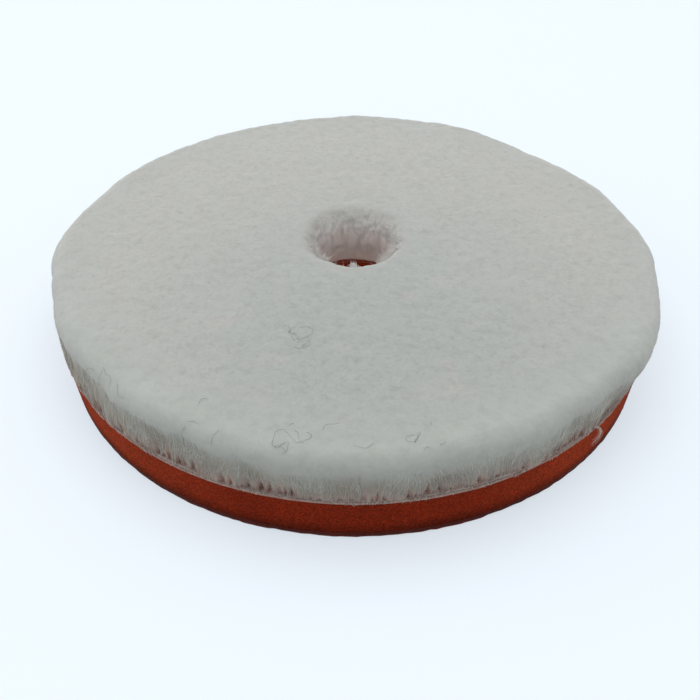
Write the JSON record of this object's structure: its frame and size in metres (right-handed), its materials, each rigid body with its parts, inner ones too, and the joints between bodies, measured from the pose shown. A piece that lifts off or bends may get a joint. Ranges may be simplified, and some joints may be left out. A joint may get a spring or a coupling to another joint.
{
  "type": "polishing pad",
  "caption": "Round polishing pad: cut pile on a foam disc with loop-cloth backing, and a centre hole through every layer.",
  "frame": {"origin": "centre of the hole, at the face of the loops on the back", "axes": "+Z along the pad's axis, from the loop backing towards the polishing face; +X and +Y in the plane of the loops"},
  "size_m": [0.15, 0.15, 0.027],
  "materials": {
    "loop_nap": "brushed nylon loops",
    "loop_cloth": "tricot knit",
    "adhesive": "hot-melt film",
    "foam": "open-cell polyurethane foam",
    "base_cloth": "plain weave",
    "pile": "cut pile, matte"
  },
  "bodies": {
    "backing": {"loop_nap": "loop_nap", "loop_cloth": "loop_cloth", "rear_adhesive": "adhesive", "foam_layer": "foam"},
    "face": {"front_adhesive": "adhesive", "base_cloth": "base_cloth", "pile": "pile"}
  },
  "joints": [
    {"name": "face_press", "type": "slide", "parent": "backing", "child": "face", "axis": [0, 0, -1], "range_m": [0, 0.004], "stiffness_N_per_m": 12000, "deforming": ["foam_layer"]}
  ]
}
